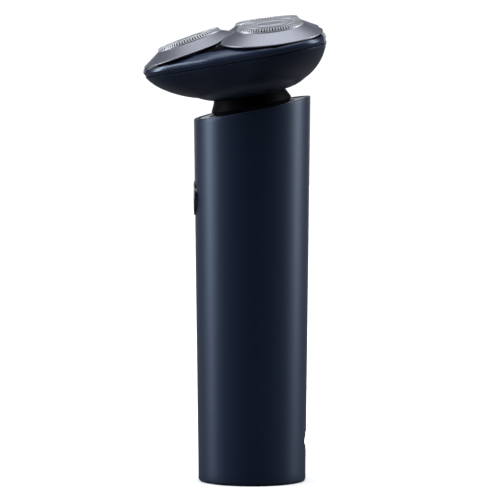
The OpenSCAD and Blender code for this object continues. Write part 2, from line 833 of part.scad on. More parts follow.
// the middle of the frame, with three arms that close the gaps below the petals
module hub_cap() color([0.03, 0.03, 0.04]) difference() {
    on_drive() {
        translate([0, 0, dome_h]) cylinder(r = hub_cap_r, h = hub_cap_top - dome_h - hub_cap_edge);
        translate([0, 0, hub_cap_top - hub_cap_edge - SMALL])
            cylinder(r1 = hub_cap_r, r2 = hub_cap_r - hub_cap_edge, h = hub_cap_edge);
        for (a = directions)
            rotate([0, 0, a + 180]) translate([0, -hub_arm_w / 2, dome_h])
                cube([hub_arm_len, hub_arm_w, hub_cap_top - dome_h - hub_cap_edge]);
    }
    unit_pockets();
}

module petal(n) color([0.52, 0.54, 0.6]) intersection() {
    at_unit(n) rotate_extrude() polygon([
        [foil_r + fit_gap, collar_low], [foil_r + fit_gap, flange_top], [petal_r, petal_low],
        [petal_r, petal_low - petal_edge], [petal_r - petal_edge, petal_low - petal_edge],
        [foil_r + fit_gap + collar_t, flange_top - petal_t - collar_t * tan(petal_slope)],
        [foil_r + fit_gap + collar_t, collar_low]]);
    on_drive() rotate([0, 0, directions[n]]) translate([petal_gap / 2 / sin(60), 0, seam_h])
        linear_extrude(height = cutter_h) polygon([[0, 0], [FAR * cos(60), -FAR * sin(60)],
            [FAR * cos(60), FAR * sin(60)]]);
}

module petal_front() petal(0);
module petal_right() petal(1);
module petal_left() petal(2);

module foil(n) color([0.8, 0.81, 0.84]) at_unit(n) difference() {
    rotate_extrude() polygon([
        [foil_r - foil_t, foil_low], [foil_r, foil_low], [foil_r, flange_top + foil_bend],
        [foil_top_r, -foil_t], [foil_top_r - foil_t, 0], [foil_cap_r / 2, 0], [foil_cap_r / 2, -foil_t],
        [foil_top_r - foil_t - SMALL * 5, -foil_t], [foil_r - foil_t, flange_top + foil_bend]]);
    for (i = [0:foil_slits - 1]) rotate([0, 0, (i + 0.5) * 360 / foil_slits])
        translate([comb_in, -slit_w / 2, -slit_depth]) cube([comb_out - comb_in, slit_w, 2 * slit_depth]);
    for (i = [0:inner_slits - 1]) rotate([0, 0, (i + 0.5) * 360 / inner_slits])
        translate([inner_comb_in, -slit_w / 2, -slit_depth])
            cube([inner_comb_out - inner_comb_in, slit_w, 2 * slit_depth]);
}

module foil_front() foil(0);
module foil_right() foil(1);
module foil_left() foil(2);

module foil_cap(n) color([0.6, 0.62, 0.68]) at_unit(n) {
    cylinder(r1 = foil_cap_r, r2 = foil_cap_r - foil_cap_t, h = foil_cap_t);
    translate([0, 0, -foil_t]) cylinder(r = foil_cap_r / 2, h = foil_t + SMALL);
}

module foil_cap_front() foil_cap(0);
module foil_cap_right() foil_cap(1);
module foil_cap_left() foil_cap(2);

module cutter(n) {
    blade_top = -foil_t - blade_gap;
    disc_low = blade_top - blade_h - disc_t;
    color([0.7, 0.7, 0.72]) at_unit(n) difference() {
        union() {
            tube(blade_out, blade_in - 1, disc_low, disc_low + disc_t);
            translate([0, 0, disc_low]) cylinder(r = blade_in, h = disc_t);
            for (i = [0:blade_count - 1]) rotate([0, 0, i * 360 / blade_count])
                translate([blade_in, -blade_t / 2, disc_low])
                    cube([blade_out - blade_in - blade_end, blade_t, blade_top - disc_low]);
            translate([0, 0, cutter_hub_low])
                cylinder(r = cutter_hub_r, h = disc_low - cutter_hub_low + SMALL);
        }
        translate([-tip_w / 2 - tip_clear, -tip_t / 2 - tip_clear, cutter_hub_low - CUT])
            cube([tip_w + 2 * tip_clear, tip_t + 2 * tip_clear, socket_top - cutter_hub_low + CUT]);
    }
}

module cutter_front() cutter(0);
module cutter_right() cutter(1);
module cutter_left() cutter(2);

// a coil spring around each spindle, with closed ends
function coil_point(i, a) =
    let (turn = i * 360 / SPRING_STEPS, r = spring_r + spring_wire * cos(a),
        rise = (spring_high - spring_low - 2 * spring_wire) * i / (spring_turns * SPRING_STEPS))
    [r * cos(turn), r * sin(turn), spring_low + spring_wire + rise + spring_wire * sin(a)];

module spring(n) {
    rings = spring_turns * SPRING_STEPS;
    points = [for (i = [0:rings]) for (k = [0:SPRING_SIDES - 1]) coil_point(i, k * 360 / SPRING_SIDES)];
    walls = [for (i = [0:rings - 1]) for (k = [0:SPRING_SIDES - 1])
        let (next = (k + 1) % SPRING_SIDES, a = i * SPRING_SIDES, b = (i + 1) * SPRING_SIDES)
        [a + k, b + k, b + next, a + next]];
    low_end = [[for (k = [0:SPRING_SIDES - 1]) k]];
    high_end = [[for (k = [SPRING_SIDES - 1:-1:0]) rings * SPRING_SIDES + k]];
    color("silver") at_spindle(n) polyhedron(points, concat(walls, low_end, high_end));
}

module spring_front() spring(0);
module spring_right() spring(1);
module spring_left() spring(2);

outer_casing();
base_cap();
base_seal();
top_deck();
deck_seal();
deck_magnets();
chassis_front();
chassis_back();
chassis_screws();
motor_mount();
motor_screws();
motor_can();
motor_end_cap();
motor_rotor();
motor_shaft();
shaft_seal();
drive_coupler();
battery_cell();
battery_tabs();
main_board();
board_screws();
switch_body();
switch_plunger();
charge_light();
charge_board();
charge_socket();
port_gasket();
button_ring();
button_gasket();
power_button();
neck_skirt();
head_magnets();
bowl();
gear_plate();
gear_cover();
head_screws();
spindle_seals();
central_gear();
spindle_front();
spindle_right();
spindle_left();
bezel_ring();
petal_frame();
hub_cap();
petal_front();
petal_right();
petal_left();
foil_front();
foil_right();
foil_left();
foil_cap_front();
foil_cap_right();
foil_cap_left();
cutter_front();
cutter_right();
cutter_left();
spring_front();
spring_right();
spring_left();
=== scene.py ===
import json
import math

import bmesh
import bpy
import numpy as np
from mathutils import Matrix, Vector


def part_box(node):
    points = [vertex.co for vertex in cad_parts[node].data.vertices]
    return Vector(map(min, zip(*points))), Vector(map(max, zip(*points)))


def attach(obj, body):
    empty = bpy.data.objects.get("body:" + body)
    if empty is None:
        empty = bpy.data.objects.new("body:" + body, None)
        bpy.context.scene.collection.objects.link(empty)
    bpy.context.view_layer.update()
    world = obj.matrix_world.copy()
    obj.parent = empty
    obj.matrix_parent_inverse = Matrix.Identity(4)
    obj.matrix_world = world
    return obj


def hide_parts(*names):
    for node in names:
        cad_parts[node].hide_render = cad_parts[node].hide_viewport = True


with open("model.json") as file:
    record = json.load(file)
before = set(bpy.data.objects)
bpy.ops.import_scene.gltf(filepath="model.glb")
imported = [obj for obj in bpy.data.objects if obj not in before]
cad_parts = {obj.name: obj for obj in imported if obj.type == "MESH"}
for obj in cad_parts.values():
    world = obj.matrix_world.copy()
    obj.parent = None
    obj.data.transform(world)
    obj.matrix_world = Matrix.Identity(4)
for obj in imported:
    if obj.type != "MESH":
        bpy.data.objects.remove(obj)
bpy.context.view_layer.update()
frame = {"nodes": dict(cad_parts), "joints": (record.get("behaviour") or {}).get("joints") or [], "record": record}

MM = 0.001      # lengths are in mm, unless a name ends in _M or a comment says metres
UNITS = ("front", "right", "left")
JOINTS = {joint["name"]: joint for joint in frame["joints"]}


# ---------------------------------------------------------------- places

def frame_at(origin, axis, side):
    """A matrix whose Z is the axis and whose X lies as near to side as it can."""
    z = Vector(axis).normalized()
    x = (Vector(side) - z * Vector(side).dot(z)).normalized()
    y = z.cross(x)
    turn = Matrix((x, y, z)).transposed().to_4x4()
    return Matrix.Translation(Vector(origin)) @ turn


UPRIGHT = Matrix.Identity(4)
DRIVE_POS = Vector(JOINTS["motor_spin"]["pos_m"])
TILT_AXIS = Vector(JOINTS["motor_spin"]["axis"]).normalized()
DRIVE = frame_at(DRIVE_POS, TILT_AXIS, (1, 0, 0))
DECK_POS = Vector((0, 0, DRIVE_POS.dot(TILT_AXIS) / TILT_AXIS.z))
DECK = frame_at(DECK_POS, TILT_AXIS, (1, 0, 0))
TILT = math.atan2(-TILT_AXIS.y, TILT_AXIS.z)
HANDLE_H = DECK_POS.z                           # in metres
HEAD_OFFSET = (DRIVE_POS - DECK_POS).length     # in metres, so it hardly moves the rings in mm


def unit_frame(name):
    """The frame of one cutting unit: origin at the middle of its foil, +X outward."""
    joint = JOINTS[f"cutter_{name}_spin"]
    origin = Vector(joint["pos_m"])
    return frame_at(origin, joint["axis"], origin - DRIVE_POS)


UNIT = {name: unit_frame(name) for name in UNITS}
SPOTS = [DRIVE.inverted() @ Vector(JOINTS[f"cutter_{name}_spin"]["pos_m"]) for name in UNITS]
DIRECTIONS = [math.atan2(spot.y, spot.x) for spot in SPOTS]
CUTTER_RING = math.hypot(SPOTS[-1].x, SPOTS[-1].y) / MM


def mesh_radius(cad_node, low_m, high_m):
    """Largest distance from the Z axis of a CAD node's points between two heights in metres."""
    points = [v.co for v in frame["nodes"][cad_node].data.vertices]
    return max(math.hypot(p.x, p.y) for p in points if low_m <= p.z <= high_m) / MM


def half_width(cad_node):
    low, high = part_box(cad_node)
    return (high.x - low.x) / 2 / MM


def middle_height(cad_node):
    low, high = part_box(cad_node)
    return (high.z + low.z) / 2 / MM


# ---------------------------------------------------------------- mesh tools

SMOOTH_ANGLE = 35       # edges that turn by more degrees than this stay sharp
BEVEL_ANGLE = 50        # edges that turn by more degrees than this are bevelled
WELD_M = 2e-7
SLIVER_M = 1e-7
SEGMENTS = 192
CORNER_SHARE = 0.45     # the most of a side that one rounded corner takes
NEAR_AXIS = 0.01        # where a turned profile starts, so that its middle stays closed
CUTTER_AXIS = 0.001


def add_to_scene(name, data):
    made = bpy.data.objects.new(name, data)
    bpy.context.scene.collection.objects.link(made)
    return made


def new_object(name, verts, faces, matrix, smooth_angle=SMOOTH_ANGLE):
    """Adds a mesh to the scene, from points in mm that lie in the matrix's frame."""
    mesh = bpy.data.meshes.new(name)
    mesh.from_pydata([matrix @ (Vector(v) * MM) for v in verts], [], faces)
    mesh.validate()
    mesh.update()
    piece = add_to_scene(name, mesh)
    tidy_mesh(piece, smooth_angle)
    return piece


def tidy_mesh(piece, smooth_angle):
    """Welds points, turns faces outward and marks edges sharper than the angle."""
    bm = bmesh.new()
    bm.from_mesh(piece.data)
    bmesh.ops.remove_doubles(bm, verts=bm.verts, dist=WELD_M)
    bmesh.ops.dissolve_degenerate(bm, edges=bm.edges, dist=SLIVER_M)
    bmesh.ops.recalc_face_normals(bm, faces=bm.faces)
    limit = math.radians(smooth_angle)
    for face in bm.faces:
        face.smooth = True
    for edge in bm.edges:
        edge.smooth = len(edge.link_faces) != 2 or edge.calc_face_angle(0) < limit
    bm.to_mesh(piece.data)
    bm.free()


def fillet(points, radius, steps=4):
    """A polyline with its inner corners rounded. A radius of 0 leaves a corner sharp."""
    radii = radius if isinstance(radius, list) else [radius] * len(points)
    out = [points[0]]
    for i in range(1, len(points) - 1):
        before, corner, after = (Vector(points[k]) for k in (i - 1, i, i + 1))
        to_before = before - corner
        to_after = after - corner
        room = min(to_before.length * CORNER_SHARE, to_after.length * CORNER_SHARE)
        reach = min(radii[i], room)
        if reach <= 0:
            out.append(points[i])
            continue
        start = corner + to_before.normalized() * reach
        end = corner + to_after.normalized() * reach
        for k in range(steps + 1):
            t = k / steps
            p = start * (1 - t) ** 2 + corner * 2 * t * (1 - t) + end * t * t
            out.append((p.x, p.y))
    out.append(points[-1])
    return out


def grid_faces(rows, cols, closed_rows):
    """Quads between rows of points. Each row is a closed ring, and the rows may be one too."""
    faces = []
    for i in range(rows if closed_rows else rows - 1):
        for j in range(cols):
            a, b = i * cols, (i + 1) % rows * cols
            faces.append((a + j, a + (j + 1) % cols, b + (j + 1) % cols, b + j))
    return faces


def lathe(name, profile, matrix, segments=SEGMENTS):
    """Turns a closed profile of (radius, height) points round the matrix's Z axis."""
    verts = []
    for r, z in profile:
        for j in range(segments):
            a = 2 * math.pi * j / segments
            verts.append((r * math.cos(a), r * math.sin(a), z))
    return new_object(name, verts, grid_faces(len(profile), segments, True), matrix)


def loft(name, rings, matrix, capped=False, smooth_angle=SMOOTH_ANGLE):
    """A skin through rings of equally many points: a closed loop of rings, or a capped bar."""
    count = len(rings[0])
    verts = [tuple(p) for ring in rings for p in ring]
    faces = grid_faces(len(rings), count, not capped)
    if capped:
        faces.append(tuple(range(count)))
        faces.append(tuple(range(len(verts) - count, len(verts))))
    return new_object(name, verts, faces, matrix, smooth_angle)


def carve(piece, cutter):
    """Cuts a closed mesh out of a piece and throws the cutter away."""
    cut = piece.modifiers.new("cut", "BOOLEAN")
    cut.operation = "DIFFERENCE"
    cut.solver = "EXACT"
    cut.object = cutter
    bpy.context.view_layer.update()
    seen = piece.evaluated_get(bpy.context.evaluated_depsgraph_get())
    mesh = bpy.data.meshes.new_from_object(seen)
    piece.modifiers.clear()
    piece.data = mesh
    bpy.data.objects.remove(cutter)
    tidy_mesh(piece, SMOOTH_ANGLE)


def bevel(piece, width, segments):
    """Rounds a piece's sharp edges."""
    edge = piece.modifiers.new("edge", "BEVEL")
    edge.width = width * MM
    edge.segments = segments
    edge.limit_method = "ANGLE"
    edge.angle_limit = math.radians(BEVEL_ANGLE)
    edge.harden_normals = True


# ---------------------------------------------------------------- materials

DRIFT_DETAIL = 4
GRAIN_DETAIL = 3
GRAIN_HEIGHT_M = 0.0002
EVEN = 0.5


def node(tree, kind, **settings):
    """Adds a shader node."""
    made = tree.nodes.new(kind)
    for key, value in settings.items():
        setattr(made, key, value)
    return made


def mapped(tree, scale):
    """Coordinates fixed to the piece, stretched by a scale."""
    coords = node(tree, "ShaderNodeTexCoord")
    mapping = node(tree, "ShaderNodeMapping")
    mapping.inputs["Scale"].default_value = scale
    tree.links.new(coords.outputs["Object"], mapping.inputs["Vector"])
    return mapping.outputs["Vector"]


def ramp_between(tree, value, low, high):
    """Stretches a value of 0 to 1 over low to high."""
    span = node(tree, "ShaderNodeMapRange")
    span.inputs["To Min"].default_value = low
    span.inputs["To Max"].default_value = high
    tree.links.new(value, span.inputs["Value"])
    return span.outputs["Result"]


def shade(name, color, rough, metallic=0.0, vary=0.06, grain=900.0, grain_depth=0.02,
          stretch=(1, 1, 1), coat=0.0, coat_rough=0.1, smudge=60.0, ior=1.45,
          sheen_tint=(1, 1, 1), gloss=0.5):
    """A moulded or metal surface: colour and roughness drift, plus a fine grain in the bump.

    smudge and grain are noise scales, vary is the share by which the colour drifts.
    """
    material = bpy.data.materials.new(name)
    material.use_nodes = True
    tree = material.node_tree
    shader = tree.nodes["Principled BSDF"]
    shader.inputs["Metallic"].default_value = metallic
    shader.inputs["IOR"].default_value = ior
    shader.inputs["Specular IOR Level"].default_value = gloss
    shader.inputs["Specular Tint"].default_value = tuple(sheen_tint) + (1,)
    shader.inputs["Coat Weight"].default_value = coat
    shader.inputs["Coat Roughness"].default_value = coat_rough

    drift = node(tree, "ShaderNodeTexNoise")
    drift.inputs["Scale"].default_value = smudge
    drift.inputs["Detail"].default_value = DRIFT_DETAIL
    tree.links.new(mapped(tree, (1, 1, 1)), drift.inputs["Vector"])
    tint = node(tree, "ShaderNodeMixRGB")
    tint.inputs["Color1"].default_value = tuple(c * (1 - vary) for c in color) + (1,)
    tint.inputs["Color2"].default_value = tuple(min(1, c * (1 + vary)) for c in color) + (1,)
    tree.links.new(drift.outputs["Fac"], tint.inputs["Fac"])
    tree.links.new(tint.outputs["Color"], shader.inputs["Base Color"])

    fine = node(tree, "ShaderNodeTexNoise")
    fine.inputs["Scale"].default_value = grain
    fine.inputs["Detail"].default_value = GRAIN_DETAIL
    tree.links.new(mapped(tree, stretch), fine.inputs["Vector"])

    # the roughness follows the mean of the drift and the grain
    mixed = node(tree, "ShaderNodeMath", operation="MULTIPLY_ADD")
    tree.links.new(fine.outputs["Fac"], mixed.inputs[0])
    mixed.inputs[1].default_value = EVEN
    half = node(tree, "ShaderNodeMath", operation="MULTIPLY")
    half.inputs[1].default_value = EVEN
    tree.links.new(drift.outputs["Fac"], half.inputs[0])
    tree.links.new(half.outputs[0], mixed.inputs[2])
    tree.links.new(ramp_between(tree, mixed.outputs[0], *rough), shader.inputs["Roughness"])

    bump = node(tree, "ShaderNodeBump")
    bump.inputs["Strength"].default_value = grain_depth
    bump.inputs["Distance"].default_value = GRAIN_HEIGHT_M
    tree.links.new(fine.outputs["Fac"], bump.inputs["Height"])
    tree.links.new(bump.outputs["Normal"], shader.inputs["Normal"])
    return material


NAVY_SHEEN = (0.50, 0.68, 1.0)
SHADES = {
    "casing": dict(color=(0.0062, 0.0105, 0.027), rough=(0.37, 0.43), vary=0.05, grain=2600,
                   grain_depth=0.03, ior=1.6, sheen_tint=NAVY_SHEEN, smudge=35),
    "bowl_navy": dict(color=(0.007, 0.011, 0.026), rough=(0.36, 0.44), grain=2600,
                      grain_depth=0.03, sheen_tint=NAVY_SHEEN, smudge=40),
    "bezel_gloss": dict(color=(0.007, 0.012, 0.034), rough=(0.26, 0.30), grain=1800,
                        grain_depth=0.002, ior=1.6, sheen_tint=(0.60, 0.76, 1.0), smudge=50),
    "black_plastic": dict(color=(0.0016, 0.0016, 0.003), rough=(0.50, 0.60), grain=2600,
                          grain_depth=0.03, gloss=0.06),
    "black_gloss": dict(color=(0.008, 0.010, 0.018), rough=(0.16, 0.24), coat=0.6,
                        coat_rough=0.12, grain_depth=0.008),
    # deck_gloss: its near-white colour is a painted reflection, standing in for the white surroundings that the
    # glossy deck mirrors
    "deck_gloss": dict(color=(0.93, 0.93, 0.97), rough=(0.30, 0.38), grain_depth=0.01, vary=0.02),
    "petal_metal": dict(color=(0.20, 0.21, 0.245), metallic=0.85, rough=(0.36, 0.44), grain=3800,
                        grain_depth=0.06, vary=0.04),
    "foil_steel": dict(color=(0.42, 0.43, 0.46), metallic=0.8, rough=(0.42, 0.50), grain=2500,
                       grain_depth=0.02, vary=0.05),
    "cap_metal": dict(color=(0.30, 0.31, 0.34), metallic=0.8, rough=(0.40, 0.48), grain=2500,
                      grain_depth=0.03),
    "cutter_steel": dict(color=(0.020, 0.020, 0.022), metallic=1.0, rough=(0.40, 0.50),
                         grain=1800, grain_depth=0.08, stretch=(1, 6, 1)),
    "screw_steel": dict(color=(0.48, 0.48, 0.50), metallic=1.0, rough=(0.28, 0.42), grain=1500,
                        grain_depth=0.06),
    "motor_steel": dict(color=(0.40, 0.40, 0.42), metallic=1.0, rough=(0.30, 0.45),
                        grain_depth=0.08, stretch=(1, 1, 0.2)),
    "magnet": dict(color=(0.60, 0.60, 0.62), metallic=1.0, rough=(0.12, 0.22)),
    "nickel": dict(color=(0.55, 0.54, 0.50), metallic=1.0, rough=(0.22, 0.34), grain_depth=0.03),
    "copper": dict(color=(0.55, 0.23, 0.09), metallic=1.0, rough=(0.28, 0.42), grain=2200,
                   grain_depth=0.15, stretch=(1, 1, 5)),
    "white_plastic": dict(color=(0.70, 0.71, 0.73), rough=(0.42, 0.55), grain=1800,
                          grain_depth=0.05),
    "gear_plastic": dict(color=(0.72, 0.69, 0.58), rough=(0.38, 0.50), grain=1500,
                         grain_depth=0.04),
    "cell_wrap": dict(color=(0.03, 0.20, 0.13), rough=(0.22, 0.34), grain=600,
                      grain_depth=0.06, smudge=120),
    "board_green": dict(color=(0.010, 0.085, 0.035), rough=(0.25, 0.4), grain=1400,
                        grain_depth=0.12, vary=0.2, smudge=400),
    "light_pipe": dict(color=(0.80, 0.86, 0.92), rough=(0.10, 0.18), grain_depth=0.01, coat=0.5),
    "rubber_black": dict(color=(0.010, 0.010, 0.011), rough=(0.65, 0.8), grain=2400,
                         grain_depth=0.12),
    "button_metal": dict(color=(0.035, 0.042, 0.075), metallic=0.6, rough=(0.26, 0.34),
                         grain=3000, grain_depth=0.05, coat=0.3, coat_rough=0.2),
}
MATERIALS = {name: shade(name, **settings) for name, settings in SHADES.items()}
SLOT_OF = {part["node"]: part["material_slot"] for part in frame["record"]["subparts"]}
for cad_name, cad_object in frame["nodes"].items():
    cad_object.data.materials.clear()
    cad_object.data.materials.append(MATERIALS[SLOT_OF[cad_name]])


def body_of_node(cad_node):
    """The body that a CAD node rides on."""
    for body, members in frame["record"]["behaviour"]["bodies"].items():
        if cad_node in members:
            return body
    raise KeyError(cad_node)


def finish_piece(piece, body, slot):
    """Puts a finished piece on its body, in the material of its slot."""
    piece.data.materials.clear()
    piece.data.materials.append(MATERIALS[slot])
    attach(piece, body)


def stands_for(piece, cad_node):
    """Puts a finished piece in the place of a CAD node."""
    finish_piece(piece, body_of_node(cad_node), SLOT_OF[cad_node])
    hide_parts(cad_node)


# ---------------------------------------------------------------- the head's rounded triangle

CORNER_R = 17.8
SIDE_BULGE = 1.1
RIDGE_H = 19.5          # heights of the head are above the drive's point, along its axis
SEAM_H = 17.7
LOW_H = 6.6
BOWL_LOW_H = 4.6
NECK_TOP_R = 12.7
BELLY_DEPTH = 1.7       # the two powers that shape the bowl's side
BELLY_ROUND = 0.75
OUTLINE_POINTS = 240
OUTLINE_NORMALS = 1440
OUTLINE_BLUR = 5
OUTLINE_FLAT = 1e-6     # less difference in radius than this is a circle


def corner_reach(h):
    """How far the rounded triangle's corners lie from the drive axis at a height."""
    u = max(0.0, min(1.0, (RIDGE_H - h) / (RIDGE_H - LOW_H)))
    return CUTTER_RING * (1 - u ** BELLY_DEPTH) ** BELLY_ROUND


def outline(reach_r, inset, bulge, shift=0.0):
    """Points of a rounded triangle round the drive axis, evenly spread by angle and softened.

    It is the hull of four discs: one at each corner, and one in the middle that bulges the sides.
    """
    discs = [(reach_r * math.cos(a), reach_r * math.sin(a), CORNER_R - inset) for a in DIRECTIONS]
    discs.append((0.0, 0.0, reach_r / 2 + CORNER_R + bulge - inset))
    normals = np.linspace(0, 2 * np.pi, OUTLINE_NORMALS, endpoint=False)
    edge = []
    for n in normals:
        c, s = math.cos(n), math.sin(n)
        x, y, r = max(discs, key=lambda d: d[0] * c + d[1] * s + d[2])
        edge.append((math.atan2(y + r * s, x + r * c), x + r * c, y + r * s))
    edge.sort()

    # the radius at each even angle, on the chord between the two nearest points
    angle, x, y = np.array([edge[-1]] + edge + [edge[0]]).T
    at = np.linspace(-np.pi, np.pi, OUTLINE_POINTS, endpoint=False)
    k = np.clip(np.searchsorted(angle[1:-1], at) + 1, 1, len(edge))
    dx, dy = x[k] - x[k - 1], y[k] - y[k - 1]
    r = (x[k - 1] * dy - y[k - 1] * dx) / (np.cos(at) * dy - np.sin(at) * dx)

    # softened, with the corners brought back out to where they were
    kernel = np.hanning(2 * OUTLINE_BLUR + 1)
    kernel /= kernel.sum()
    wrapped = np.concatenate([r[-OUTLINE_BLUR:], r, r[:OUTLINE_BLUR]])
    soft = np.convolve(wrapped, kernel, "valid")
    peak = (r - r.min()) / max(r.max() - r.min(), OUTLINE_FLAT)
    soft *= 1 + (r.max() / soft.max() - 1) * peak
    return [(far * math.cos(a), far * math.sin(a) + shift) for far, a in zip(soft, at)]


def bowl_ring(h, inset=0.0):
    """The bowl's outline at a height, drawn in by an inset."""
    share = corner_reach(h) / CUTTER_RING
    flat = outline(corner_reach(h), inset, SIDE_BULGE * share, -HEAD_OFFSET * (1 - share))
    return [(x, y, h) for x, y in flat]


def round_ring(r, h):
    """A circle with as many points as the outline has."""
    at = np.linspace(-np.pi, np.pi, OUTLINE_POINTS, endpoint=False)
    return [(r * math.cos(a), r * math.sin(a) - HEAD_OFFSET, h) for a in at]


# ---------------------------------------------------------------- head pieces

def make_bowl():
    """The shell under the bezel, open at the top and round the neck."""
    wall, edge = 1.5, 0.12
    first_h, inner_low_h, floor_h = 7.0, 8.6, 6.9
    hole_r, foot_r, belly = 5.6, NECK_TOP_R + 0.5, 0.35
    skirt = []
    for t in (0.0, 0.25, 0.5, 0.75):
        drop = belly * math.sin(math.pi * t)
        skirt.append([(f[0] * (1 - t) + g[0] * t, f[1] * (1 - t) + g[1] * t,
                       f[2] * (1 - t) + g[2] * t - drop)
                      for f, g in zip(round_ring(foot_r, BOWL_LOW_H), bowl_ring(first_h))])
    rings = [round_ring(hole_r, BOWL_LOW_H), round_ring(NECK_TOP_R, BOWL_LOW_H)] + skirt
    rings += [bowl_ring(h) for h in np.linspace(first_h, SEAM_H - edge, 34)]
    rings += [bowl_ring(SEAM_H, inset) for inset in (edge * 0.4, edge * 1.5, wall)]
    rings += [bowl_ring(h, wall) for h in np.linspace(SEAM_H - 1, inner_low_h, 14)]
    rings += [round_ring(NECK_TOP_R, floor_h), round_ring(hole_r, floor_h)]
    stands_for(loft("bowl_shell", rings, DRIVE), "bowl")


def bezel_profile():
    """Inset and height of the bezel's skin, from the seam over the ridge to its inner lip."""
    step, edge, wall, low = 0.35, 0.1, 2.6, SEAM_H + 0.14
    skin = fillet([(step + edge, low), (step, SEAM_H + 0.16 + edge), (0.0, RIDGE_H - 0.15),
                   (0.42, RIDGE_H + 1.0), (1.45, RIDGE_H + 2.0), (3.1, RIDGE_H + 2.9),
                   (4.3, RIDGE_H + 3.25), (4.9, RIDGE_H + 3.1), (5.0, RIDGE_H + 0.6)],
                  [0, 0.1, 0.35, 0.6, 0.8, 0.8, 0.35, 0.2, 0], 5)
    return skin + [(3.4, RIDGE_H + 0.3), (wall, RIDGE_H - 0.4), (wall, low), (step + edge, low)]


def pocket(name):
    """A closed solid of the room that one cutting unit needs, as a cutter for the bezel."""
    wide, narrow, top, bottom = PETAL_R + 0.35, 12.9, 9, -16
    shelf = PETAL_LOW - PETAL_EDGE - 0.5 - POCKET_GAP
    profile = [(CUTTER_AXIS, top), (wide, top), (wide, shelf), (narrow, shelf), (narrow, bottom),
               (CUTTER_AXIS, bottom)]
    return lathe("pocket", profile, UNIT[name], segments=180)


def make_bezel():
    """The glossy triangular ring, with a pocket for each cutting unit."""
    rings = []
    for inset, h in bezel_profile():
        lift = corner_reach(h) if h < RIDGE_H else CUTTER_RING
        rings.append([(x, y, h) for x, y in outline(lift, inset, SIDE_BULGE)])
    piece = loft("bezel_shell", rings, DRIVE)
    for name in UNITS:
        carve(piece, pocket(name))
    bevel(piece, 0.12, 2)
    stands_for(piece, "bezel_ring")


def make_neck():
    """The black collar between the handle and the bowl."""
    low_h, wide, inner_r = -0.6, 14.1, 8
    profile = fillet([(inner_r, low_h), (wide - 1, low_h), (wide, 1.0), (wide, 1.35),
                      (NECK_TOP_R, 4.2), (NECK_TOP_R, BOWL_LOW_H), (inner_r, BOWL_LOW_H)],
                     [0, 0.15, 0.25, 0.3, 0.2, 0, 0])
    stands_for(lathe("neck_shell", profile, DECK), "neck_skirt")


# ---------------------------------------------------------------- cutting units

FOIL_R = 11.5
FOIL_TOP_R = 11.0
FLANGE_TOP = -1.2       # heights of a unit are above the top of its foil
PETAL_R = 17.9
PETAL_SLOPE = math.tan(math.radians(27))
PETAL_LOW = FLANGE_TOP - (PETAL_R - FOIL_R) * PETAL_SLOPE
PETAL_EDGE = 0.45
PETAL_GAP = 0.8         # between two petals
PETAL_SIDES = 288
PETAL_BASE = -4.6
PETAL_HOLE_R = FOIL_R + 0.08
TIP_SOFTNESS = 0.05     # rounds the petal's two corners
SIXTH_TURN = math.radians(60)
POCKET_GAP = 0.18       # under a petal
COMB = ((10.55, 8.65, 72), (7.95, 6.15, 60))    # outer radius, inner radius and slits of each
GROOVE_R = 8.35
SLIT_SHARE = 0.5
FOIL_COLUMNS = 720
FOIL_SKIN = 0.06


def petal_reach(angle):
    """How far a petal reaches: a circle cut by the two lines to its neighbours."""
    line = CUTTER_RING * math.sin(SIXTH_TURN) - PETAL_GAP / 2
    slant = math.sin(abs(angle) - SIXTH_TURN)
    cut = 1 / (line / slant) if slant > 0 else 0.0
    power = 1 / TIP_SOFTNESS
    return ((1 / PETAL_R) ** power + cut ** power) ** -TIP_SOFTNESS


def petal_ring(share, pull=0.0, lift=0.0, z=None):
    """A ring at a share of the way from hole to rim. Its height follows the slope, or is z."""
    ring = []
    for j in range(PETAL_SIDES):
        a = -math.pi + 2 * math.pi * j / PETAL_SIDES
        r = PETAL_HOLE_R + (petal_reach(a) - PETAL_HOLE_R) * share - pull
        slope_z = FLANGE_TOP - (r - PETAL_HOLE_R) * PETAL_SLOPE + lift
        ring.append((r * math.cos(a), r * math.sin(a), slope_z if z is None else z))
    return ring


def make_petal(name):
    """The sloping metal plate round a foil, from the hole's wall over the face to its underside."""
    inner_pull, under = -0.9, -1.2
    rings = [petal_ring(0, z=z) for z in (PETAL_BASE, -2.6, FLANGE_TOP - 0.12)]
    rings += [petal_ring(0, -0.06, -0.03), petal_ring(0, -0.16)]
    rings += [petal_ring(share) for share in np.linspace(0.06, 0.94, 12)]
    rings += [petal_ring(1, pull, lift)
              for pull, lift in ((0.30, 0.0), (0.14, -0.015), (0.05, -0.06), (0.0, -0.16),
                                 (0.0, 0.1 - PETAL_EDGE), (0.07, -PETAL_EDGE),
                                 (0.5, -PETAL_EDGE - 0.1))]
    rings += [petal_ring(0.35, 0, under), petal_ring(0, inner_pull, under - 0.15),
              petal_ring(0, inner_pull, z=PETAL_BASE)]
    stands_for(loft(f"petal_{name}_plate", rings, UNIT[name], smooth_angle=40), f"petal_{name}")


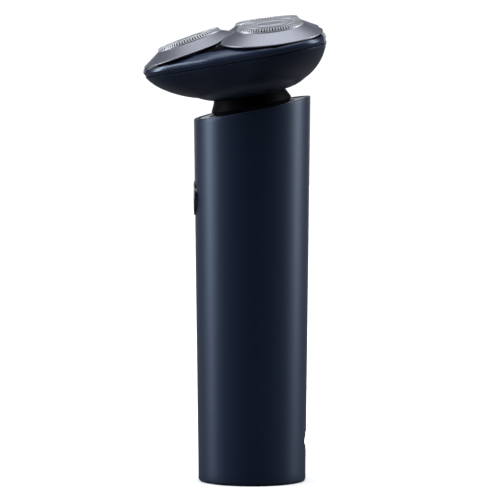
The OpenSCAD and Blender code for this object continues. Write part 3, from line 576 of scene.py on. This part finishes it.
def make_foil(name):
    """The slotted steel cap: a polar grid with its slits left open, thickened afterwards."""
    outer, inner = COMB
    profile = [(FOIL_R, -3.4), (FOIL_R, -1.0), (FOIL_R - 0.05, -0.86), (FOIL_TOP_R + 0.08, -0.22),
               (FOIL_TOP_R - 0.03, -0.06), (FOIL_TOP_R - 0.18, 0.0), (outer[0], 0.0),
               (outer[1], 0.0), (GROOVE_R + 0.22, 0.0), (GROOVE_R + 0.15, -0.12),
               (GROOVE_R - 0.15, -0.12), (GROOVE_R - 0.22, 0.0), (inner[0], 0.0),
               (inner[1], 0.0), (5.1, 0.0), (4.95, -0.14), (4.3, -0.14), (2.5, -0.14)]
    outer_rows, inner_row = range(2, 7), 12     # the profile's steps that the slits cut
    slits = {**dict.fromkeys(outer_rows, outer[2]), inner_row: inner[2]}
    verts, faces = [], []
    for r, z in profile:
        for j in range(FOIL_COLUMNS):
            a = 2 * math.pi * j / FOIL_COLUMNS
            verts.append((r * math.cos(a), r * math.sin(a), z))
    for i in range(len(profile) - 1):
        for j in range(FOIL_COLUMNS):
            if i in slits and (j + 0.5) / FOIL_COLUMNS * slits[i] % 1 < SLIT_SHARE:
                continue
            a, b, after = i * FOIL_COLUMNS, (i + 1) * FOIL_COLUMNS, (j + 1) % FOIL_COLUMNS
            faces.append((a + j, a + after, b + after, b + j))
    piece = new_object(f"foil_{name}_comb", verts, faces, UNIT[name], 40)
    skin = piece.modifiers.new("skin", "SOLIDIFY")
    skin.thickness = FOIL_SKIN * MM
    skin.offset = -1
    stands_for(piece, f"foil_{name}")


def make_foil_cap(name):
    """The round metal cap in the middle of a foil."""
    rim_r, low = 4.15, -0.4
    profile = fillet([(NEAR_AXIS, 0.12), (0.9, 0.12), (1.1, 0.04), (2.6, 0.0), (3.1, 0.16),
                      (3.9, 0.14), (rim_r, -0.1), (rim_r, low), (NEAR_AXIS, low)], 0.12)
    piece = lathe(f"foil_{name}_centre", profile, UNIT[name], segments=96)
    stands_for(piece, f"foil_cap_{name}")


# ---------------------------------------------------------------- handle

WALL = 1.8
TOP_R = mesh_radius("outer_casing", HANDLE_H - 0.004, HANDLE_H + 0.01) - 0.045
BASE_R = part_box("base_cap")[1].x / MM + WALL + 0.1
CASING_LOW = 0.15
CASING_SIDES = 256
HANDLE_MM = HANDLE_H / MM
BUTTON_RING_R = half_width("button_ring")
BUTTON_Z = middle_height("button_ring")
BUTTON_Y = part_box("button_ring")[0].y / MM
LIGHT_R = half_width("charge_light")
LIGHT_Z = middle_height("charge_light")
PORT_Z = middle_height("charge_socket")
PORT_RECESS = (12.6, 6.8)       # width and height of the port's openings and parts
PORT_HOLE = (9.6, 3.8)
GROMMET_FACE = (12.5, 6.7)
GROMMET_COLLAR = (9.5, 3.7)
GROMMET_HOLE = (9.02, 3.22)
SOCKET = (9.0, 3.2)
SOCKET_MOUTH = (8.4, 2.6)
TONGUE = (6.8, 0.7)
RECESS_DEPTH = 0.8
OUTSIDE = 40            # past the handle's skin, for cutters


def outer_r(z):
    """The handle's outer radius at a height."""
    return BASE_R + (TOP_R - BASE_R) * z / HANDLE_MM


def rim_z(r, angle, depth=0.0):
    """Height of the sloping top plane, a little below it if asked, at a place round the handle."""
    return HANDLE_MM + r * math.sin(angle) * math.tan(TILT) - depth / math.cos(TILT)


def casing_ring(inset, depth):
    """A ring along the sloping top, drawn in by an inset and sunk by a depth."""
    ring = []
    for j in range(CASING_SIDES):
        a = 2 * math.pi * j / CASING_SIDES
        z = rim_z(outer_r(HANDLE_MM) - inset, a, depth)
        r = outer_r(z) - inset
        ring.append((r * math.cos(a), r * math.sin(a), rim_z(r, a, depth)))
    return ring


def low_ring(inset, z):
    """A level ring, drawn in from the skin by an inset."""
    r = outer_r(z) - inset
    angles = [2 * math.pi * j / CASING_SIDES for j in range(CASING_SIDES)]
    return [(r * math.cos(a), r * math.sin(a), z) for a in angles]


def stadium_solid(name, size, y_low, y_high, z):
    """A closed bar with round ends, of a width and height, lying along Y."""
    width, height = size
    steps = 24
    rings = []
    for y in (y_low, y_high):
        ring = []
        for side, start in ((1, -90), (-1, 90)):
            for k in range(steps + 1):
                a = math.radians(start + 180 * k / steps)
                ring.append((side * (width - height) / 2 + height / 2 * math.cos(a), y,
                             z + height / 2 * math.sin(a)))
        rings.append(ring)
    return loft(name, rings, UPRIGHT, capped=True)


def along_y(y, z):
    """A frame whose Z axis points to the back, at a depth and a height."""
    return frame_at((0, y * MM, z * MM), (0, 1, 0), (1, 0, 0))


def drill(r, z):
    """A bar that cuts a round hole through the handle's front wall."""
    y_low, y_high = -30, -5
    profile = [(CUTTER_AXIS, y_low), (r, y_low), (r, y_high), (CUTTER_AXIS, y_high)]
    return lathe("drill", profile, along_y(0, z), segments=96)


def make_casing():
    """The handle's shell: round lower edge, flared wall, rim along the sloping top, inner wall."""
    edge = 0.8
    rings = []
    for k in range(7):
        a = math.radians(-90 + 15 * k)
        rings.append(low_ring(edge - edge * math.cos(a), CASING_LOW + edge + edge * math.sin(a)))
    rings += [low_ring(0, z) for z in (4, 8, 14, 20, 40, 70, 90, 99, 108, 118)]
    rings += [casing_ring(inset, depth)
              for inset, depth in ((0, 1.4), (0, 0.30), (0.02, 0.16), (0.09, 0.05), (0.2, 0.0),
                                   (WALL - 0.3, 0.0), (WALL - 0.1, 0.05), (WALL, 0.2), (WALL, 6))]
    rings += [low_ring(WALL, z) for z in (118, 90, 40, 14, CASING_LOW)]
    piece = loft("casing_shell", rings, UPRIGHT)
    port_y = outer_r(PORT_Z)
    for size, depth in ((PORT_RECESS, RECESS_DEPTH), (PORT_HOLE, 6)):
        carve(piece, stadium_solid("port", size, port_y - depth, port_y + 3, PORT_Z))
    carve(piece, drill(BUTTON_RING_R + 0.05, BUTTON_Z))
    carve(piece, drill(LIGHT_R + 0.03, LIGHT_Z))
    bevel(piece, 0.22, 3)
    stands_for(piece, "outer_casing")


def make_deck_rim():
    """The raised outer band of the top deck, just below the casing's rim."""
    gap, width, top, low, edge = 0.1, 3.6, 0.28, 0.79, 0.1
    rings = [casing_ring(WALL + inset, depth)
             for inset, depth in ((gap, low), (gap, top + edge), (gap + edge, top),
                                  (width - edge, top), (width, top + edge), (width, low))]
    # the band's near-white deck_gloss colour is a painted reflection of white surroundings, not the deck's own
    # tone
    finish_piece(loft("deck_rim", rings, UPRIGHT), "handle", "deck_gloss")


def make_button():
    """The button's metal ring and its dished cap."""
    hole_r, back = 4.85, 2.5
    ring = fillet([(hole_r, back), (hole_r, 0.5), (5.0, 0.12), (5.25, 0.0),
                   (BUTTON_RING_R - 0.2, 0.02), (BUTTON_RING_R, 0.25), (BUTTON_RING_R, back)], 0.25)
    face = along_y(BUTTON_Y, BUTTON_Z)
    stands_for(lathe("button_bezel", ring, face, segments=128), "button_ring")
    dish_r, dish_deep, cap_r, foot_r, foot = 4.3, 0.5, 4.7, 5.3, 3.2
    dish = [(r, 0.22 + dish_deep * (1 - (r / dish_r) ** 2))
            for r in np.linspace(NEAR_AXIS, dish_r, 12)]
    cap = fillet(dish + [(4.62, 0.2), (cap_r, 0.5), (cap_r, 2.7), (foot_r, 2.75), (foot_r, foot),
                         (NEAR_AXIS, foot)], [0.0] * 11 + [0.1, 0.15, 0.15, 0, 0, 0, 0])
    stands_for(lathe("button_cap", cap, face, segments=128), "power_button")


def make_socket():
    """The charging socket's shell with its tongue and contacts."""
    low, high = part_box("charge_socket")
    y_low, y_high = low.y / MM, high.y / MM
    shell = stadium_solid("socket_shell", SOCKET, y_low, y_high, PORT_Z)
    carve(shell, stadium_solid("mouth", SOCKET_MOUTH, y_low + 1, y_high + 2, PORT_Z))
    stands_for(shell, "charge_socket")
    tongue = stadium_solid("socket_tongue", TONGUE, y_low + 0.9, y_high - 0.6, PORT_Z)
    finish_piece(tongue, "handle", "black_plastic")

    count, pitch = 8, 0.65
    wide, long, thick = 0.3, 4, 0.06
    bars = bmesh.new()
    for k in range(count):
        for v in bmesh.ops.create_cube(bars, size=1)["verts"]:
            v.co = Vector(((v.co.x * wide + (k - (count - 1) / 2) * pitch) * MM,
                           (v.co.y * long + y_high - 3) * MM,
                           (PORT_Z + 0.36 + v.co.z * thick) * MM))
    mesh = bpy.data.meshes.new("socket_contacts")
    bars.to_mesh(mesh)
    bars.free()
    finish_piece(add_to_scene("socket_contacts", mesh), "handle", "nickel")


def make_grommet():
    """The port's rubber grommet: a collar in the casing's hole and a face in its recess."""
    face_y = outer_r(PORT_Z)
    skin_r = outer_r(PORT_Z - 3.4) - 0.12
    low, high = PORT_Z - 9, PORT_Z + 9
    skin = [(skin_r, low), (OUTSIDE, low), (OUTSIDE, high), (skin_r, high)]
    plate = stadium_solid("port_grommet", GROMMET_FACE, face_y - RECESS_DEPTH + 0.01, face_y + 1,
                          PORT_Z)
    carve(plate, lathe("skin", skin, UPRIGHT, segments=CASING_SIDES))
    collar = stadium_solid("collar", GROMMET_COLLAR, face_y - WALL - 1.1, face_y - 0.75, PORT_Z)
    for part in (plate, collar):
        carve(part, stadium_solid("hole", GROMMET_HOLE, 0, OUTSIDE, PORT_Z))
    both = bmesh.new()
    both.from_mesh(plate.data)
    both.from_mesh(collar.data)
    both.to_mesh(plate.data)
    both.free()
    bpy.data.objects.remove(collar)
    stands_for(plate, "port_gasket")


def make_base():
    """The base cap with a shallow ring, a soft edge and the rim that holds its seal."""
    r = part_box("base_cap")[1].x / MM
    floor, step, top = 0.35, 2.4, 5.4
    profile = fillet([(NEAR_AXIS, floor), (11.0, floor), (11.3, 0.0), (r - 0.4, 0.0), (r, 0.3),
                      (r, step), (r - 1.4, step), (r - 1.4, top), (r - 3.0, top),
                      (r - 3.0, step), (NEAR_AXIS, step)], 0.25)
    stands_for(lathe("base_plate", profile, UPRIGHT), "base_cap")


make_bowl()
make_bezel()
make_neck()
for unit_name in UNITS:
    make_petal(unit_name)
    make_foil(unit_name)
    make_foil_cap(unit_name)
make_casing()
make_deck_rim()
make_button()
make_socket()
make_grommet()
make_base()


# ---------------------------------------------------------------- stage, lights and camera

CAMERA_FAR_M = 1.9
CAMERA_HIGH_M = 0.2333
CAMERA_AZIMUTH = math.radians(88)
TARGET_M = Vector((0, -0.0007, 0.08075))
FRAME_WIDTH_M = 0.1743
FAR_CLIP_M = 50
FLOOR_SIZE_M = 6
FLOOR_WHITE = 0.93
FLOOR_BOUNCE = 0.10
WORLD_GREY = (0.05, 0.06, 0.09)
WHITE = (1, 1, 1)
STRIP_TINT = (0.94, 0.97, 1.0)
SUN_POWER = 3.6
SUN_SPREAD = 80         # in degrees
# name, place, width and height, power, aim and colour, all lengths in metres
AREA_LIGHTS = (
    ("front_strip", (-0.11, -1.1, 0.35), (0.28, 1.4), 17, (0, 0, 0.08), STRIP_TINT),
    ("back_strip", (-0.19, 1.08, 0.35), (0.34, 1.4), 13, (0, 0, 0.08), STRIP_TINT),
    ("backdrop", (-1.5, 0.0, 0.12), (1.6, 0.5), 3, (0, 0, 0.12), WHITE),
)


def point_at(thing, place, aim):
    """Puts a camera or light at a place, facing another."""
    thing.location = place
    thing.rotation_euler = (Vector(aim) - Vector(place)).to_track_quat("-Z", "Y").to_euler()


def make_camera():
    place = Vector((CAMERA_FAR_M * math.sin(CAMERA_AZIMUTH),
                    -CAMERA_FAR_M * math.cos(CAMERA_AZIMUTH), CAMERA_HIGH_M))
    data = bpy.data.cameras.new("camera")
    data.lens = data.sensor_width * (place - TARGET_M).length / FRAME_WIDTH_M
    data.clip_end = FAR_CLIP_M
    camera = add_to_scene("camera", data)
    point_at(camera, place, TARGET_M)
    bpy.context.scene.camera = camera


def make_light(name, place, size, power, aim, color):
    data = bpy.data.lights.new(name, "AREA")
    data.shape = "RECTANGLE"
    data.size, data.size_y = size
    data.energy = power
    data.color = color
    point_at(add_to_scene(name, data), place, aim)


def make_sun():
    """A wide soft light from straight above."""
    data = bpy.data.lights.new("sky_soft", "SUN")
    data.energy = SUN_POWER
    data.angle = math.radians(SUN_SPREAD)
    add_to_scene("sky_soft", data)


def seen_or_cast(tree, seen, cast):
    """One colour for what the camera sees, and another for the light that is thrown."""
    path = node(tree, "ShaderNodeLightPath")
    mix = node(tree, "ShaderNodeMixRGB")
    mix.inputs["Color1"].default_value = tuple(cast) + (1,)
    mix.inputs["Color2"].default_value = tuple(seen) + (1,)
    tree.links.new(path.outputs["Is Camera Ray"], mix.inputs["Fac"])
    return mix.outputs["Color"]


def floor_material():
    """A matt white floor that throws little light back up at the object."""
    material = shade("pale_floor", (0.9, 0.9, 0.9), rough=(0.9, 0.95), grain_depth=0.0, ior=1.05)
    tree = material.node_tree
    color = seen_or_cast(tree, (FLOOR_WHITE,) * 3, (FLOOR_BOUNCE,) * 3)
    tree.links.new(color, tree.nodes["Principled BSDF"].inputs["Base Color"])
    return material


def make_floor():
    bm = bmesh.new()
    bmesh.ops.create_grid(bm, x_segments=2, y_segments=2, size=FLOOR_SIZE_M)
    mesh = bpy.data.meshes.new("floor")
    bm.to_mesh(mesh)
    bm.free()
    floor = add_to_scene("floor", mesh)
    floor.data.materials.append(floor_material())


def make_world():
    """White to the camera and a dim grey to all else, so that the strips shape the gloss."""
    world = bpy.data.worlds.new("studio")
    world.use_nodes = True
    tree = world.node_tree
    color = seen_or_cast(tree, WHITE, WORLD_GREY)
    tree.links.new(color, tree.nodes["Background"].inputs["Color"])
    tree.nodes["Background"].inputs["Strength"].default_value = 1.0
    bpy.context.scene.world = world


make_camera()
make_world()
make_floor()
for light_settings in AREA_LIGHTS:
    make_light(*light_settings)
make_sun()
bpy.context.scene.view_settings.view_transform = "Standard"
